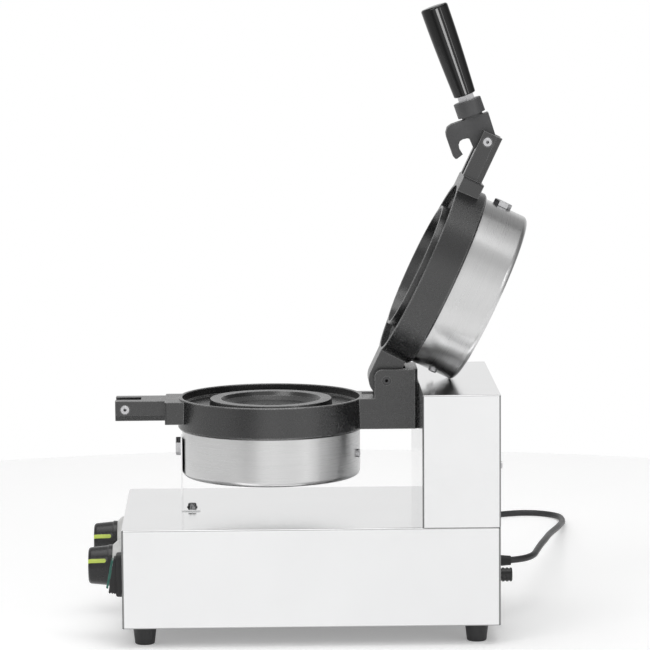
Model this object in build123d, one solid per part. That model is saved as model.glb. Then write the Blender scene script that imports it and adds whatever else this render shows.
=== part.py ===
from build123d import *
from math import cos, sin, tan, radians, degrees, sqrt, pi, atan2
import os

os.makedirs("parts", exist_ok=True)

# Millimetres. +Z up, the front (knobs) faces -Y, the machine is centred on X = 0.
# Below, Y is counted from the housing's front wall; SHIFT moves everything at the end
# so that the box of the machine is centred on Y = 0.

# Housing and tower
HOUSING_W = 256.0
HOUSING_D = 380.0
HOUSING_Z = 19.5
HOUSING_H = 100.0
SHEET = 1.5
BOTTOM_T = 1.5
TOWER_D = 78.4
EDGE_R = 2.5
FOOT_R = 12.2
FOOT_IN = 24.0
FOOT_FRONT = 22.0
FOOT_REAR = 23.0
FOOT_RECESS = 7.5
FOOT_SCREW_R = 2.5
SCREW_PLAY = 0.1
HEAD_UP = 116.9

# Plates
PLATE_R = 94.8
RIM_WALL = 3.4
CAST_H = 32.6
TROUGH_D = 9.0
RING_R1 = 62.3
RING_W = 10.9
RING_DROP = 2.3
DISH_D = 13.0
RING_GAP = 1.5
LID_RING_W = 2.6
LID_RING_OUT = 3.8
CUP_IN = 3.2
CUP_H = 48.5
CUP_T = 1.2
CUP_CORNER = 5.0
BOLT_DOWN = 18.9
BOLT_R = 4.9
HEAT_R = 58.0
HEAT_T = 4.0
HEAT_LEG_X = 11.0
HEAT_LEG_R = 4.8
HEAT_LEG_L = 22.0
SCREW_ANGLES = (-16.0, 16.0)
SCREW_DOWN = 24.0
SCREW_R = 2.0

# Hinge
HINGE_FROM_TOWER = 31.8
HINGE_FROM_PLATE = 23.5
AXIS_UP = 18.4
OPEN_DEG = 115.4
OPEN_REST_GAP = 0.38
CHEEK_X = 29.5
CHEEK_T = 9.2
CHEEK_FRONT = 12.3
CHEEK_UP = 11.5
CHEEK_ROUND = 7.5
HINGE_BLOCK_H = 31.3
HINGE_PIN_R = 4.4
HINGE_PIN_IN = 0.6
HINGE_BEVEL = 3.0
LUG_ROOT = 60.0
SLOT_WALL = 12.0
BLOCK_BOLT_X = 20.0
BLOCK_BOLT_R = 2.9

# Forks and latch
FORK_X = 21.0
FORK_PLAY = 1.0
LATCH_T = 17.0
FORK_DEEP = 20.6
FORK_DROP = 1.6
FORK_CHAMFER = 5.7
LUG_X = 33.0
LUG_OUT = 13.9
CATCH_FROM_LUG = 40.9
CATCH_DOWN = 10.5
FORK_END = 10.1
SLOT_BACK = 16.3
PIN_R = 4.8
PIN_PLAY = 0.08
PIN_PROUD = 0.2
PIN_HOLE_R = 1.6
PIN_HOLE_L = 12.0
PIVOT_BACK = 3.9
PIVOT_UP = 8.3
LID_FORK_END = 9.3
LID_LUG_BACK = 41.3
LID_CHAMFER = 5.9
BOSS_R = 14.5
BOSS_L = 17.5
BOSS_NECK_R = 11.0
BOSS_NECK_L = 2.2
STUD_R = 4.0
NUT_H = 6.0
NUT_IN_R = 8.2
GRIP_L = 96.5
GRIP_R0 = 11.4
GRIP_R1 = 14.2
GRIP_END_R = 2.6
GRIP_DOME = 0.8

# Controls
KNOB_UP = 54.5
KNOB_R = 20.2
KNOB_L = 24.4
KNOB_TURN = 24.0
POINTER_W = 4.2
BEZEL_R = 25.5
BEZEL_T = 10.4
BEZEL_GAP = 1.3
SHAFT_R = 3.0
SHAFT_PLAY = 0.15
SWITCH_IN = 20.0
SWITCH_UP = 52.0
SWITCH_HALF_W = 11.2
SWITCH_HALF_H = 21.2
ROCK = 11.0

# Rear fittings and cord
GLAND_X = -30.0
CAP_X = 53.0
GLAND_UP = 36.5
CAP_UP = 37.5
CORD_R = 3.5
PLUG_R = 18.5
PLUG_CONE = 24.0
PLUG_FACE = 46.0
PLUG_PIN_X = 9.5
PLUG_PIN_L = 19.0
TERM_FROM_REAR = 90.0

HALF_W = HOUSING_W / 2
TOP_Z = HOUSING_Z + HOUSING_H
TOWER_Y = HOUSING_D - TOWER_D
AXIS_Y = TOWER_Y - HINGE_FROM_TOWER
PLATE_Y = AXIS_Y - HINGE_FROM_PLATE - PLATE_R
RIM_Z = TOP_Z + HEAD_UP
AXIS_Z = RIM_Z + AXIS_UP
CUP_R = PLATE_R - CUP_IN
RING_R0 = RING_R1 - RING_W
LID_RING_R0 = RING_R1 + RING_GAP
LID_RING_R1 = LID_RING_R0 + LID_RING_W
SLOT_X = LATCH_T / 2 + FORK_PLAY
LUG_Y = PLATE_Y - PLATE_R - LUG_OUT
CATCH_Y = LUG_Y - CATCH_FROM_LUG
FORK_FRONT = CATCH_Y - FORK_END
PIVOT_Y = CATCH_Y + PIVOT_BACK
SWITCH_X = HALF_W - SWITCH_IN
SWITCH_Z = HOUSING_Z + SWITCH_UP
KNOB_X = SWITCH_X - SWITCH_HALF_W - BEZEL_R - BEZEL_GAP
KNOB_Z = HOUSING_Z + KNOB_UP
KNOB_FACE = -BEZEL_T - 0.4 - KNOB_L
GLAND_Z = HOUSING_Z + GLAND_UP
CAP_Z = HOUSING_Z + CAP_UP

# The rounded corner of the opened lid's casing: it is the rear-most point of the machine,
# and it comes to rest just over the top of the tower.
corner_y = PLATE_Y + CUP_R - CUP_CORNER - AXIS_Y
far_y = PLATE_Y - CUP_R + CUP_CORNER - AXIS_Y
corner_z = CAST_H + CUP_H - CUP_CORNER - AXIS_UP
turn = radians(OPEN_DEG)
TOWER_Z = AXIS_Z - corner_y * sin(turn) + corner_z * cos(turn) - CUP_CORNER - OPEN_REST_GAP
rear_most = AXIS_Y + far_y * cos(turn) + corner_z * sin(turn) + CUP_CORNER
SHIFT = -(rear_most + KNOB_FACE) / 2


def block(x0, x1, y0, y1, z0, z1):
    return Pos((x0 + x1) / 2, (y0 + y1) / 2, (z0 + z1) / 2) * Box(abs(x1 - x0), abs(y1 - y0), abs(z1 - z0))


def rod_x(y, z, r, x0, x1):
    return Pos((x0 + x1) / 2, y, z) * Rot(0, 90, 0) * Cylinder(r, abs(x1 - x0))


def rod_y(x, z, r, y0, y1):
    return Pos(x, (y0 + y1) / 2, z) * Rot(90, 0, 0) * Cylinder(r, abs(y1 - y0))


def rod_z(x, y, r, z0, z1):
    return Pos(x, y, (z0 + z1) / 2) * Cylinder(r, abs(z1 - z0))


def prism_x(points, x0, x1):
    face = Plane.YZ * make_face(Polyline(*points, close=True))
    return Pos(x0, 0, 0) * extrude(face, x1 - x0, dir=(1, 0, 0))


def spun_z(points, x, y):
    face = Plane.XZ * make_face(Polyline(*points, close=True))
    return Pos(x, y, 0) * revolve(face, Axis.Z)


def spun_y(points, x, z):
    # points are (radius, y)
    face = make_face(Polyline(*[(r, y) for r, y in points], close=True))
    return Pos(x, 0, z) * revolve(face, Axis.Y)


def hex_y(x, z, across, y0, y1):
    face = Plane.XZ * RegularPolygon(across / 2, 6, major_radius=False, rotation=30)
    return Pos(x, max(y0, y1), z) * extrude(face, abs(y1 - y0))


def hex_z(x, y, across, z0, z1):
    return Pos(x, y, z0) * extrude(RegularPolygon(across / 2, 6, major_radius=False), z1 - z0)


def one(shape):
    solids = shape.solids() if hasattr(shape, "solids") else shape
    if len(solids) == 1:
        return solids[0]
    return Compound(list(solids))


hinge = Axis((0, AXIS_Y, AXIS_Z), (1, 0, 0))
nodes = {}


def keep(name, shape, lid=False):
    shape = one(shape)
    if lid:
        shape = shape.rotate(hinge, -OPEN_DEG)
    nodes[name] = shape.moved(Location((0, SHIFT, 0)))
    return shape


# Housing
outer = block(-HALF_W, HALF_W, 0, HOUSING_D, HOUSING_Z, TOP_Z)
outer = fillet(outer.edges().filter_by(Axis.Z), EDGE_R)
outer = fillet(outer.edges().group_by(Axis.Z)[-1], EDGE_R - 0.7)
inner = block(-HALF_W + SHEET, HALF_W - SHEET, SHEET, HOUSING_D - SHEET, HOUSING_Z - 1, TOP_Z - SHEET)
inner = fillet(inner.edges().filter_by(Axis.Z), EDGE_R - SHEET)
shell = outer - inner
KNOB_HOLE_R = 4.2
SWITCH_CASE_X = 8.6
SWITCH_CASE_Z = 17.0
CUTOUT_R = 5.0
GLAND_R = 7.0
for sx in (-1, 1):
    shell -= rod_y(sx * KNOB_X, KNOB_Z, KNOB_HOLE_R, -1, SHEET + 1)
wide = SWITCH_CASE_X + SCREW_PLAY
tall = SWITCH_CASE_Z + SCREW_PLAY
shell -= block(SWITCH_X - wide, SWITCH_X + wide, -1, SHEET + 1, SWITCH_Z - tall, SWITCH_Z + tall)
shell -= rod_y(GLAND_X, GLAND_Z, GLAND_R, HOUSING_D - SHEET - 1, HOUSING_D + 1)
shell -= rod_y(CAP_X, CAP_Z, CUTOUT_R + 2 * SCREW_PLAY, HOUSING_D - SHEET - 1, HOUSING_D + 1)
STRIP_Y = PLATE_Y - CUP_R - SHEET
STRIP_X = 17.5
STRIP_FOOT = 19.5
STRIP_SCREW_R = 2.4
STRIP_WASHER_R = 5.4
STRIP_WASHER_T = 1.0
STRIP_HEAD_R = 4.4
STRIP_HEAD_H = 3.4
STRIP_SCREW_Y = STRIP_Y + 11.0
shell -= rod_z(0, STRIP_SCREW_Y, STRIP_SCREW_R + SCREW_PLAY, TOP_Z - SHEET - 1, TOP_Z + 1)
TOWER_SCREW_X = HALF_W - 16.0
TOWER_SCREWS = [(sx * TOWER_SCREW_X, y) for sx in (-1, 1) for y in (TOWER_Y + 16, HOUSING_D - 18)]
for x, y in TOWER_SCREWS:
    shell -= rod_z(x, y, SCREW_R, TOP_Z - SHEET - 1, TOP_Z + 1)
shell -= rod_z(0, TOWER_Y + TOWER_D / 2, 14.0, TOP_Z - SHEET - 1, TOP_Z + 1)
keep("housing_shell", shell)

FOOT_X = HALF_W - FOOT_IN
FEET = [("front_left", -FOOT_X, FOOT_FRONT), ("front_right", FOOT_X, FOOT_FRONT)]
FEET += [("rear_left", -FOOT_X, HOUSING_D - FOOT_REAR), ("rear_right", FOOT_X, HOUSING_D - FOOT_REAR)]
bottom = block(-HALF_W + SHEET, HALF_W - SHEET, SHEET, HOUSING_D - SHEET, HOUSING_Z, HOUSING_Z + BOTTOM_T)
bottom = fillet(bottom.edges().filter_by(Axis.Z), EDGE_R - SHEET)
FLANGE_H = 14.0
flange_end = HOUSING_D - 8
bottom += block(-HALF_W + SHEET, -HALF_W + 2 * SHEET, 8, flange_end, HOUSING_Z, HOUSING_Z + FLANGE_H)
bottom += block(HALF_W - 2 * SHEET, HALF_W - SHEET, 8, flange_end, HOUSING_Z, HOUSING_Z + FLANGE_H)
foot_hole = FOOT_SCREW_R + SCREW_PLAY
for name, x, y in FEET:
    bottom -= rod_z(x, y, foot_hole, HOUSING_Z - 1, HOUSING_Z + BOTTOM_T + 1)
keep("bottom_plate", bottom)

foot_screws = []
for name, x, y in FEET:
    profile = [(FOOT_R - 3.2, 0), (FOOT_R - 2.2, 1), (FOOT_R - 0.2, HOUSING_Z - 1), (FOOT_R - 1, HOUSING_Z)]
    profile += [(foot_hole, HOUSING_Z), (foot_hole, FOOT_RECESS), (5.4, FOOT_RECESS), (5.4, 0)]
    keep("foot_" + name, spun_z(profile, x, y))
    screw = rod_z(x, y, FOOT_SCREW_R, FOOT_RECESS, HOUSING_Z + BOTTOM_T + 7.5)
    screw += rod_z(x, y, 4.6, FOOT_RECESS - 3.5, FOOT_RECESS)
    screw += hex_z(x, y, 8.0, HOUSING_Z + BOTTOM_T, HOUSING_Z + BOTTOM_T + 4)
    foot_screws.append(one(screw))
keep("foot_screws", Compound(foot_screws))

# Tower
tower = block(-HALF_W, HALF_W, TOWER_Y, HOUSING_D - SHEET, TOP_Z, TOWER_Z)
tower = fillet(tower.edges().filter_by(Axis.Z).group_by(Axis.Y)[0], 2.0)
tower = fillet(tower.edges().group_by(Axis.Z)[-1].sort_by(Axis.Y)[:-1], 1.6)
hollow = block(-HALF_W + SHEET, HALF_W - SHEET, TOWER_Y + SHEET, HOUSING_D, TOP_Z - 1, TOWER_Z - SHEET)
tower -= hollow
for sx in (-1, 1):
    x0 = sx * (HALF_W - SHEET)
    tower += block(x0, x0 - sx * 18, TOWER_Y + 6, HOUSING_D - 8, TOP_Z, TOP_Z + SHEET)
for x, y in TOWER_SCREWS:
    tower -= rod_z(x, y, SCREW_R, TOP_Z - 1, TOP_Z + SHEET + 1)
BLOCK_BOLTS = [(sx * BLOCK_BOLT_X, z) for sx in (-1, 1) for z in (RIM_Z - 22, RIM_Z - 7)]
for x, z in BLOCK_BOLTS:
    tower -= rod_y(x, z, BLOCK_BOLT_R + 3 * SCREW_PLAY, TOWER_Y - 1, TOWER_Y + SHEET + 1)
COVER_SCREW_UP = 61.5
COVER_SCREWS = [(sx * (HALF_W - 10.0), TOP_Z + COVER_SCREW_UP) for sx in (-1, 1)]
for sx in (-1, 1):
    z0 = TOP_Z + COVER_SCREW_UP - 11.5
    x0 = sx * (HALF_W - SHEET)
    tower += block(x0, sx * (HALF_W - 18), HOUSING_D - 2 * SHEET, HOUSING_D - SHEET, z0, z0 + 23)
for x, z in COVER_SCREWS:
    tower -= rod_y(x, z, SCREW_R, HOUSING_D - 9, HOUSING_D + 1)
keep("tower_shell", tower)

cover = block(-HALF_W, HALF_W, HOUSING_D - SHEET, HOUSING_D, TOP_Z, TOWER_Z)
cover = fillet(cover.edges().filter_by(Axis.Y).group_by(Axis.Z)[-1], 1.6)
for x, z in COVER_SCREWS:
    cover -= rod_y(x, z, SCREW_R, HOUSING_D - 9, HOUSING_D + 1)
keep("tower_rear_cover", cover)

screws = []
for x, z in COVER_SCREWS:
    screw = rod_y(x, z, SCREW_R, HOUSING_D - 8, HOUSING_D) + rod_y(x, z, 3.6, HOUSING_D, HOUSING_D + 2)
    screws.append(one(screw))
keep("rear_cover_screws", Compound(screws))
screws = []
for x, y in TOWER_SCREWS:
    screw = rod_z(x, y, SCREW_R, TOP_Z - SHEET, TOP_Z + SHEET + 3.5)
    screw += rod_z(x, y, 3.6, TOP_Z - SHEET - 2.2, TOP_Z - SHEET)
    screw += hex_z(x, y, 7.0, TOP_Z + SHEET, TOP_Z + SHEET + 3)
    screws.append(one(screw))
keep("tower_fixing_screws", Compound(screws))


# Plate castings. built(sign) makes the round body: sign +1 is the lower one,
# -1 the upper one upside down above the rim plane.
def zz(sign, depth):
    return RIM_Z - sign * depth


def casting(sign, ring0, ring1, ring_depth):
    r = PLATE_R
    w = RIM_WALL
    d = TROUGH_D
    pts = [(0, DISH_D), (28, DISH_D - 0.6), (ring0 - 9, DISH_D - 3.0), (ring0 - 2.2, DISH_D - 6.5)]
    pts += [(ring0, ring_depth), (ring1, ring_depth), (ring1 + 1.2, d), (r - w - 1.5, d), (r - w, d - 1.5)]
    pts += [(r - w, 0.5), (r - w + 0.5, 0), (r - 0.5, 0), (r, 0.5)]
    pts += [(r + 0.9, CAST_H - 2.0), (r - 0.6, CAST_H), (0, CAST_H)]
    return spun_z([(a, zz(sign, b)) for a, b in pts], 0, PLATE_Y)


def finish_casting(body, sign):
    groove = Pos(0, PLATE_Y, zz(sign, CAST_H + 0.6)) * Torus(HEAT_R, HEAT_T)
    body = body - groove
    # bosses inside the casing for the hex bolt and the small screws
    z0 = zz(sign, CAST_H - 1)
    z1 = zz(sign, CAST_H + BOLT_DOWN + 10)
    boss = block(-10, 10, PLATE_Y - CUP_R + CUP_T + 0.8, PLATE_Y - CUP_R + 18, z0, z1)
    boss &= rod_z(0, PLATE_Y, CUP_R - CUP_T, min(z0, z1), max(z0, z1))
    body += boss
    body -= rod_y(0, zz(sign, CAST_H + BOLT_DOWN), BOLT_R + SCREW_PLAY, 0, PLATE_Y - CUP_R + 17)
    for a in SCREW_ANGLES:
        lug = Rot(0, 0, a) * block(-5, 5, CUP_R - 12, CUP_R - CUP_T - 0.3, z0, zz(sign, CAST_H + 30))
        lug = Pos(0, PLATE_Y, 0) * lug
        lug &= rod_z(0, PLATE_Y, CUP_R - CUP_T, min(z0, z1) - 4, max(z0, z1) + 4)
        body += lug
        hole = Rot(0, 0, a) * rod_y(0, 0, SCREW_R, CUP_R - 10, CUP_R)
        body -= Pos(0, PLATE_Y, zz(sign, CAST_H + SCREW_DOWN)) * hole
    return body


def fork(top, deep_sign, front, lug_y, lug_top, slot_end, chamfer):
    # a bar from the front end to the lug, then the wider lug into the round body
    z0 = top
    z1 = top + deep_sign * FORK_DEEP
    bar = block(-FORK_X, FORK_X, front, lug_y + 1, z0, z1)
    edges = bar.edges().filter_by(Axis.Y).sort_by(Axis.Z)
    outer_edges = edges[-2:] if deep_sign > 0 else edges[:2]
    bar = chamfer_edges(bar, outer_edges, chamfer)
    lug_bottom = lug_top + deep_sign * 23.0
    lug = block(-LUG_X, LUG_X, lug_y, PLATE_Y - LUG_ROOT, lug_top, lug_bottom)
    lug = fillet(lug.edges().filter_by(Axis.Z), 2.0)
    return bar + lug - block(-SLOT_X, SLOT_X, front - 1, slot_end, z0 - 40, z0 + 40)


def chamfer_edges(body, edges, size):
    return chamfer(edges, length=size, length2=size * 0.45) if size > 0 else body


def round_core(sign):
    # what lies inside the rim wall, cut out of lugs and arms so that they end in the wall
    a = zz(sign, -8)
    b = zz(sign, CAST_H - 3)
    return rod_z(0, PLATE_Y, PLATE_R - RIM_WALL / 2, min(a, b), max(a, b))


# Lower plate
body = casting(1, RING_R0, RING_R1, RING_DROP)
FORK_TOP = RIM_Z - FORK_DROP
catch_z = RIM_Z - CATCH_DOWN
arm = fork(FORK_TOP, -1, FORK_FRONT, LUG_Y, FORK_TOP, CATCH_Y + SLOT_BACK, FORK_CHAMFER)
hinge_block = block(-CHEEK_X, CHEEK_X, PLATE_Y + LUG_ROOT, TOWER_Y, RIM_Z - HINGE_BLOCK_H, RIM_Z)
cheek_profile = block(-CHEEK_X, CHEEK_X, AXIS_Y - CHEEK_FRONT, TOWER_Y, RIM_Z - 1, AXIS_Z + CHEEK_UP)
front_edge = cheek_profile.edges().filter_by(Axis.X).sort_by(Axis.Y)[:2].sort_by(Axis.Z)[-1]
cheek_profile = fillet(front_edge, CHEEK_ROUND)
hinge_block += cheek_profile
inside_x = CHEEK_X - CHEEK_T
hinge_block -= block(-inside_x, inside_x, PLATE_Y + PLATE_R - 1, TOWER_Y - SLOT_WALL, RIM_Z - 1.0, AXIS_Z + 20)
hinge_block -= rod_x(AXIS_Y, AXIS_Z, HINGE_PIN_R, -CHEEK_X - 1, CHEEK_X + 1)
for x, z in BLOCK_BOLTS:
    hinge_block -= rod_y(x, z, BLOCK_BOLT_R + SCREW_PLAY, TOWER_Y - 16, TOWER_Y + 1)
for sx in (-1, 1):
    # the block's outer edges are bevelled where it meets the tower wall
    wedge = [(sx * (CHEEK_X - HINGE_BEVEL - 1), TOWER_Y + 1), (sx * (CHEEK_X + 1), TOWER_Y + 1)]
    wedge += [(sx * (CHEEK_X + 1), TOWER_Y - HINGE_BEVEL - 1)]
    bevel = extrude(make_face(Polyline(*wedge, close=True)), 2 * HEAD_UP, both=True)
    hinge_block -= Pos(0, 0, RIM_Z) * bevel
body += (arm + hinge_block) - round_core(1)
body -= rod_x(CATCH_Y, catch_z, PIN_R, -FORK_X - 1, FORK_X + 1)
body = finish_casting(body, 1)
keep("lower_plate", body)


def pin(y, z, half, r):
    p = rod_x(y, z, r, -half, half)
    p = chamfer(p.edges().filter_by(GeomType.CIRCLE), 0.5)
    for sx in (-1, 1):
        p -= rod_x(y, z, PIN_HOLE_R, sx * (half - PIN_HOLE_L), sx * (half + 1))
    return p


keep("catch_pin", pin(CATCH_Y, catch_z, FORK_X + PIN_PROUD, PIN_R))
keep("hinge_pin", pin(AXIS_Y, AXIS_Z, CHEEK_X - HINGE_PIN_IN, HINGE_PIN_R))


def cup(sign):
    z0 = zz(sign, CAST_H)
    z1 = zz(sign, CAST_H + CUP_H)
    solid = rod_z(0, PLATE_Y, CUP_R, min(z0, z1), max(z0, z1))
    edge = solid.edges().filter_by(GeomType.CIRCLE).sort_by(Axis.Z)
    solid = fillet(edge[0] if sign > 0 else edge[-1], CUP_CORNER)
    za = zz(sign, CAST_H - 1)
    zb = zz(sign, CAST_H + CUP_H - CUP_T)
    space = rod_z(0, PLATE_Y, CUP_R - CUP_T, min(za, zb), max(za, zb))
    edge = space.edges().filter_by(GeomType.CIRCLE).sort_by(Axis.Z)
    space = fillet(edge[0] if sign > 0 else edge[-1], CUP_CORNER - CUP_T)
    solid = solid - space
    solid -= rod_y(0, zz(sign, CAST_H + BOLT_DOWN), BOLT_R + SCREW_PLAY, 0, PLATE_Y - CUP_R + 17)
    for a in SCREW_ANGLES:
        hole = Rot(0, 0, a) * rod_y(0, 0, SCREW_R, CUP_R - 10, CUP_R + 5)
        solid -= Pos(0, PLATE_Y, zz(sign, CAST_H + SCREW_DOWN)) * hole
    return solid


def casing_bolt(sign, seat):
    z = zz(sign, CAST_H + BOLT_DOWN)
    head = hex_y(0, z, 16.6, seat - 5.3, seat)
    head = chamfer(head.edges().filter_by(Plane.XZ).group_by(Axis.Y)[0], 0.7)
    return head + rod_y(0, z, BOLT_R, seat, PLATE_Y - CUP_R + 16)


def casing_screws(sign):
    made = []
    for a in SCREW_ANGLES:
        head = rod_y(0, 0, 4.2, CUP_R - 1.0, CUP_R + 2.2) - rod_z(0, 0, CUP_R, -10, 10)
        s = rod_y(0, 0, SCREW_R, CUP_R - 9, CUP_R) + head
        made.append(one(Pos(0, PLATE_Y, zz(sign, CAST_H + SCREW_DOWN)) * (Rot(0, 0, a) * s)))
    return Compound(made)


def heater(sign):
    ring = Pos(0, PLATE_Y, zz(sign, CAST_H + 0.6)) * Torus(HEAT_R, HEAT_T)
    for x in (-HEAT_LEG_X, HEAT_LEG_X):
        y = PLATE_Y + sqrt(HEAT_R ** 2 - x * x)
        za = zz(sign, CAST_H)
        zb = zz(sign, CAST_H + HEAT_LEG_L)
        ring += rod_z(x, y, HEAT_LEG_R, min(za, zb), max(za, zb))
    return ring


keep("lower_casing", cup(1))
keep("lower_heater", heater(1))
keep("lower_casing_bolt", casing_bolt(1, STRIP_Y))
keep("lower_casing_screws", casing_screws(1))

# Support strip from the casing bolt down to the housing top
strip_z = RIM_Z - CAST_H - BOLT_DOWN
strip = block(-STRIP_X, STRIP_X, STRIP_Y, STRIP_Y + SHEET, TOP_Z, strip_z + 10)
strip += block(-STRIP_X, STRIP_X, STRIP_Y, STRIP_Y + STRIP_FOOT, TOP_Z, TOP_Z + SHEET)
strip = fillet(strip.edges().filter_by(Axis.X).sort_by(Axis.Z)[0:4].sort_by(Axis.Y)[0], 1.4)
strip -= rod_y(0, strip_z, BOLT_R + SCREW_PLAY, STRIP_Y - 1, STRIP_Y + SHEET + 1)
strip -= rod_z(0, STRIP_SCREW_Y, STRIP_SCREW_R + SCREW_PLAY, TOP_Z - 1, TOP_Z + SHEET + 1)
keep("support_strip", strip)
top = TOP_Z + SHEET
screw = rod_z(0, STRIP_SCREW_Y, STRIP_SCREW_R, TOP_Z - SHEET - 5, top)
screw += rod_z(0, STRIP_SCREW_Y, STRIP_WASHER_R, top, top + STRIP_WASHER_T)
head_top = top + STRIP_WASHER_T + STRIP_HEAD_H
screw += rod_z(0, STRIP_SCREW_Y, STRIP_HEAD_R, top, head_top)
screw = fillet(screw.edges().filter_by(GeomType.CIRCLE).sort_by(Axis.Z)[-1], 1.5)
screw -= block(-4, 4, STRIP_SCREW_Y - 0.5, STRIP_SCREW_Y + 0.5, head_top - 1.3, head_top + 1)
screw += hex_z(0, STRIP_SCREW_Y, 8.0, TOP_Z - SHEET - 4, TOP_Z - SHEET)
keep("support_strip_screw", screw)

# Hinge block bolts, from inside the tower
bolts = []
for x, z in BLOCK_BOLTS:
    y = TOWER_Y + SHEET
    bolts.append(one(rod_y(x, z, BLOCK_BOLT_R, TOWER_Y - 14, y) + hex_y(x, z, 10.0, y, y + 4)))
keep("hinge_block_bolts", Compound(bolts))

# Upper plate, modelled lying on the lower one, then swung open
body = casting(-1, LID_RING_R0, LID_RING_R1, -LID_RING_OUT)
pivot_z = RIM_Z + PIVOT_UP
LID_FRONT = PIVOT_Y - LID_FORK_END
LID_LUG = PIVOT_Y + LID_LUG_BACK
mating = RIM_Z + 0.3
arm = fork(mating, 1, LID_FRONT, LID_LUG, mating, PIVOT_Y + 16.5, LID_CHAMFER)
arm -= block(-SLOT_X, SLOT_X, LID_FRONT, LID_LUG - 0.5, mating - 1, mating + 10.5)
arm -= rod_x(PIVOT_Y, pivot_z, PIN_R + PIN_PLAY, -FORK_X - 1, FORK_X + 1)
arm_x = inside_x - 0.8
arm_top = AXIS_Z + CHEEK_UP - 1.3
hinge_arm = block(-arm_x, arm_x, PLATE_Y + LUG_ROOT, AXIS_Y, RIM_Z + 0.4, arm_top)
hinge_end = rod_x(AXIS_Y, AXIS_Z, AXIS_UP - 0.4, -arm_x, arm_x)
hinge_end -= block(-arm_x - 1, arm_x + 1, AXIS_Y - 40, AXIS_Y + 40, arm_top, arm_top + 40)
hinge_arm += hinge_end
hinge_arm -= rod_x(AXIS_Y, AXIS_Z, HINGE_PIN_R + PIN_PLAY, -arm_x - 1, arm_x + 1)
body += (arm + hinge_arm) - round_core(-1)
body = finish_casting(body, -1)
keep("upper_plate", body, lid=True)
keep("upper_casing", cup(-1), lid=True)
keep("upper_heater", heater(-1), lid=True)
keep("upper_casing_bolt", casing_bolt(-1, PLATE_Y - CUP_R), lid=True)
keep("upper_casing_screws", casing_screws(-1), lid=True)
pivot_pin = pin(PIVOT_Y, pivot_z, FORK_X + PIN_PROUD, PIN_R)
keep("latch_pivot_pin", pivot_pin, lid=True)

# Latch, drawn around the pivot as it stands when the lid is open
dy = PIVOT_Y - AXIS_Y
dz = pivot_z - AXIS_Z
pivot_open_y = AXIS_Y + dy * cos(turn) + dz * sin(turn)
pivot_open_z = AXIS_Z - dy * sin(turn) + dz * cos(turn)
HANDLE_DEG = 109.3
hy = cos(radians(HANDLE_DEG))
hz = sin(radians(HANDLE_DEG))
BOSS_FROM = 28.2
BOSS_OFF = 5.0
outline = [(-26.9, 20.4), (-36.0, 17.3), (-40.1, 14.2), (-41.6, 8.6), (-40.9, 4.2)]
outline += [(-34.0, -15.6), (-32.2, -17.6), (-30.4, -17.8), (-24.4, -13.1), (-27.9, -7.4), (-28.7, -3.2)]
outline += [(-27.4, 0.4), (-24.2, 2.3), (-19.8, 3.2), (-17.4, 2.6), (-16.5, 0.6)]
outline += [(-13.2, -7.1), (-9.9, -6.6)]
outline += [(0, 0), (10.4, 1.5), (1.6, 29.7)]
hook = prism_x([(pivot_open_y + a, pivot_open_z + b) for a, b in outline], -LATCH_T / 2, LATCH_T / 2)
hook += rod_x(pivot_open_y, pivot_open_z, 10.6, -LATCH_T / 2, LATCH_T / 2)
py = hz
pz = -hy
boss_y = pivot_open_y + hy * BOSS_FROM - py * BOSS_OFF
boss_z = pivot_open_z + hz * BOSS_FROM - pz * BOSS_OFF


def along_handle(shape_z, start):
    # a body standing on +Z, laid along the handle from a distance above the boss foot
    tilt = HANDLE_DEG - 90
    place = Location((0, boss_y + hy * start, boss_z + hz * start), (tilt, 0, 0))
    return shape_z.moved(place)


boss = rod_z(0, 0, BOSS_R, BOSS_NECK_L, BOSS_L)
boss = chamfer(boss.edges().filter_by(GeomType.CIRCLE).sort_by(Axis.Z)[-1], 0.6)
neck = rod_z(0, 0, BOSS_NECK_R, 0, BOSS_NECK_L) + block(-LATCH_T / 2, LATCH_T / 2, -10, 10, -4, 0)
hook += along_handle(boss + neck, 0)
hook -= along_handle(Pos(0, 0, BOSS_L / 2 + 1) * Cylinder(STUD_R, BOSS_L), 0)
hook -= rod_x(pivot_open_y, pivot_open_z, PIN_R + PIN_PLAY, -20, 20)
keep("latch_hook", hook)

STUD_L = 66.0
stud = Pos(0, 0, STUD_L / 2 + 2) * Cylinder(STUD_R, STUD_L)
keep("handle_stud", along_handle(stud, 0))
nut = extrude(RegularPolygon(NUT_IN_R, 6, major_radius=False), NUT_H)
nut -= Pos(0, 0, NUT_H / 2) * Cylinder(STUD_R, NUT_H + 2)
keep("handle_nut", along_handle(nut, BOSS_L))

r0 = GRIP_R0
r1 = GRIP_R1
end_z = GRIP_L - GRIP_DOME - GRIP_END_R
grip_pts = [(0, 0), (r0 - 0.8, 0), (r0, 0.8)]
for i in range(1, 11):
    # the radius grows quickly at first and evens out towards the end
    share = i / 10
    grip_pts.append((r0 + (r1 - r0) * sin(radians(90 * share)), 0.8 + (end_z - 0.8) * share))
for i in range(1, 7):
    t = radians(90 * i / 6)
    grip_pts.append((r1 - GRIP_END_R + GRIP_END_R * cos(t), end_z + GRIP_END_R * sin(t)))
grip_pts += [((r1 - GRIP_END_R) * 0.5, GRIP_L - GRIP_DOME * 0.25), (0, GRIP_L)]
bore = STUD_L + 2 - BOSS_L - NUT_H
grip = spun_z(grip_pts, 0, 0) - Pos(0, 0, bore / 2) * Cylinder(STUD_R, bore)
keep("handle_grip", along_handle(grip, BOSS_L + NUT_H))

# Knobs, bezels, shafts and what they turn
SHAFT_Y0 = -BEZEL_T - 15.6
SHAFT_Y1 = 12.0


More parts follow.
